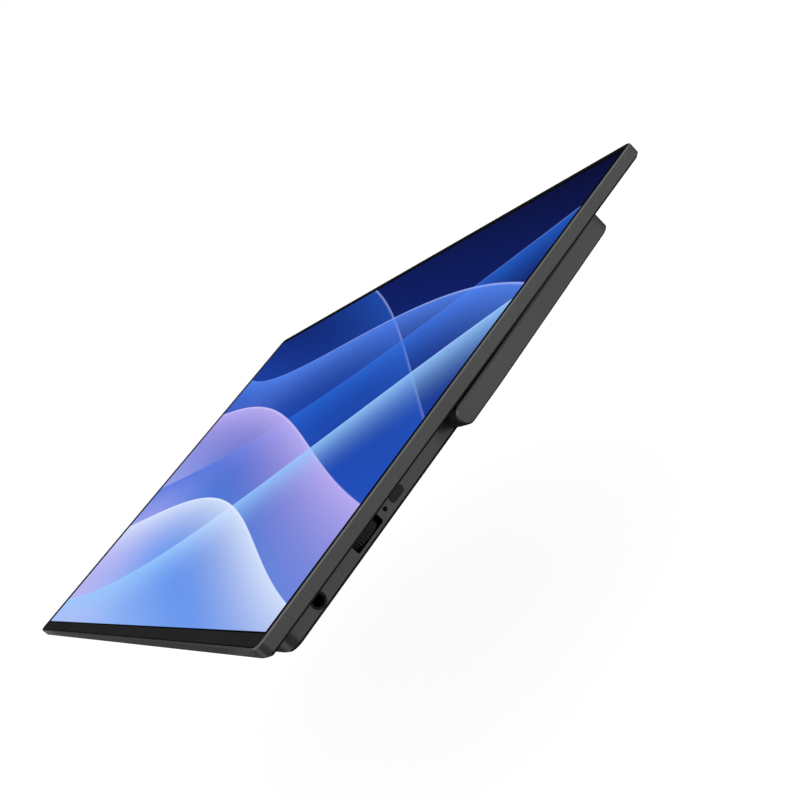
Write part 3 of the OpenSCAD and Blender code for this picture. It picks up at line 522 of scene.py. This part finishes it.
def white_rays(tree):
    """1 for the rays that see the studio white: the camera's, reflected ones and transmitted ones."""
    rays = tree.nodes.new("ShaderNodeLightPath")
    seen = rays.outputs["Is Camera Ray"]
    for kind in ("Is Glossy Ray", "Is Transmission Ray"):
        either = tree.nodes.new("ShaderNodeMath")
        either.operation = "MAXIMUM"
        tree.links.new(seen, either.inputs[0])
        tree.links.new(rays.outputs[kind], either.inputs[1])
        seen = either.outputs[0]
    return seen


def floor_material():
    """Pale floor: it takes shadows, fades out to the white round it, and is clear from below."""
    m = Nodes("floor")
    paint = m.add("ShaderNodeBsdfDiffuse")
    m.put(paint.inputs["Color"], m.mix(m.noise(12.0), grey(0.24), grey(0.27)))
    lift = m.add("ShaderNodeEmission")
    m.put(lift.inputs["Strength"], m.math("MULTIPLY", white_rays(m.tree), FLOOR_GLOW))
    both = m.add("ShaderNodeAddShader")
    m.put(both.inputs[0], paint.outputs[0])
    m.put(both.inputs[1], lift.outputs[0])
    flat = m.stretched(1.0, 1.0, 0.0)
    away = m.add("ShaderNodeVectorMath", operation="LENGTH")
    m.put(away.inputs[0], flat)
    fade = m.ramp(away.outputs["Value"], FLOOR_FADE, FLOOR_R, smooth=True)
    hide = m.math("MAXIMUM", fade, m.add("ShaderNodeNewGeometry").outputs["Backfacing"])
    clear = m.add("ShaderNodeBsdfTransparent")
    blend = m.add("ShaderNodeMixShader")
    m.put(blend.inputs[0], hide)
    m.put(blend.inputs[1], both.outputs[0])
    m.put(blend.inputs[2], clear.outputs[0])
    m.put(m.output.inputs["Surface"], blend.outputs[0])
    return m.material


def make_floor():
    """The round floor under the object."""
    mesh = bmesh.new()
    bmesh.ops.create_circle(mesh, cap_ends=True, segments=96, radius=FLOOR_R)
    data = bpy.data.meshes.new("floor")
    mesh.to_mesh(data)
    mesh.free()
    data.materials.append(floor_material())
    made = bpy.data.objects.new("floor", data)
    made.location = (0.0, 0.0, FLOOR_Z)
    bpy.context.scene.collection.objects.link(made)


def make_card(name, cloth, place, size, facing=(0.0, 0.0, 1.0)):
    """A card that only reflections see, as a studio hangs beside a glossy screen."""
    mesh = bmesh.new()
    bmesh.ops.create_grid(mesh, x_segments=8, y_segments=4, size=0.5)
    bmesh.ops.scale(mesh, vec=(size[0], size[1], 1.0), verts=mesh.verts)
    data = bpy.data.meshes.new(name)
    mesh.to_mesh(data)
    mesh.free()
    data.materials.append(cloth)
    made = bpy.data.objects.new(name, data)
    made.location = place
    made.rotation_mode = "QUATERNION"
    made.rotation_quaternion = Vector(facing).to_track_quat("Z", "Y")
    made.visible_camera = False
    made.visible_diffuse = False
    made.visible_shadow = False
    made.visible_transmission = False
    bpy.context.scene.collection.objects.link(made)


def make_world():
    """White to camera, reflected and transmitted rays, and a softer even light for the rest."""
    world = bpy.data.worlds.new("studio")
    world.use_nodes = True
    tree = world.node_tree
    tree.nodes.clear()
    level = tree.nodes.new("ShaderNodeMapRange")
    back = tree.nodes.new("ShaderNodeBackground")
    out = tree.nodes.new("ShaderNodeOutputWorld")
    tree.links.new(white_rays(tree), level.inputs["Value"])
    level.inputs["To Min"].default_value = WORLD_LIGHT
    level.inputs["To Max"].default_value = 1.0
    back.inputs["Color"].default_value = (1.0, 1.0, 1.0, 1.0)
    tree.links.new(level.outputs[0], back.inputs["Strength"])
    tree.links.new(back.outputs[0], out.inputs["Surface"])
    bpy.context.scene.world = world


def softbox(name, place, size, watts, shines=True):
    """A square lamp that faces the middle of the object; a fill lights it without a shine of its own."""
    data = bpy.data.lights.new(name, "AREA")
    data.shape = "SQUARE"
    data.size = size
    data.energy = watts
    made = bpy.data.objects.new(name, data)
    made.location = place
    made.rotation_mode = "QUATERNION"
    made.rotation_quaternion = (-Vector(place)).to_track_quat("-Z", "Y")
    made.visible_camera = False
    made.visible_glossy = shines
    bpy.context.scene.collection.objects.link(made)


# The photograph's viewpoint: its place, its right, up and backward directions, and its lens in millimetres
CAMERA_PLACE = Vector((431.5, -150.3, 94.65)) * MM
CAMERA_RIGHT = Vector((0.4426, 0.5520, -0.7067))
CAMERA_UP = Vector((0.1587, 0.7275, 0.6676))
CAMERA_BACKWARD = Vector((0.8826, -0.4076, 0.2344))
CAMERA_LENS = 52.3


def make_camera():
    """The camera at the photograph's viewpoint, with a sensor 36 mm wide."""
    data = bpy.data.cameras.new("camera")
    data.sensor_width = 36.0
    data.lens = CAMERA_LENS
    data.clip_start = 0.01
    data.clip_end = 20.0
    made = bpy.data.objects.new("camera", data)
    turn = Matrix((CAMERA_RIGHT, CAMERA_UP, CAMERA_BACKWARD)).transposed().to_4x4()
    made.matrix_world = Matrix.Translation(CAMERA_PLACE) @ turn
    bpy.context.scene.collection.objects.link(made)
    bpy.context.scene.camera = made


make_floor()
make_world()
make_card("card_left", CARD_BLACK, (-0.8, 0.42, 0.5), (2.4, 1.2), (0.66, -0.35, 0.0))
make_card("card_below", CARD_BLACK, (0.02, 0.0, CARD_Z), (0.42, 0.36))
make_card("card_near", CARD_BLACK, (0.36, -0.27, CARD_Z), (0.3, 0.32))
make_card("card_far", CARD_GREY, (-0.52, -0.2, CARD_Z), (0.62, 0.34))
softbox("key_right", (0.5, 0.23, 0.062), 0.12, 0.8)
softbox("fill_front", (-0.1, -1.0, 0.1), 0.8, 2.0)
softbox("fill_left", (-0.7, 0.4, -0.04), 0.35, 4.0, shines=False)
softbox("fill_under", (-0.45, 0.55, -0.75), 0.8, 5.0, shines=False)
make_camera()
bpy.context.scene.view_settings.view_transform = "Standard"
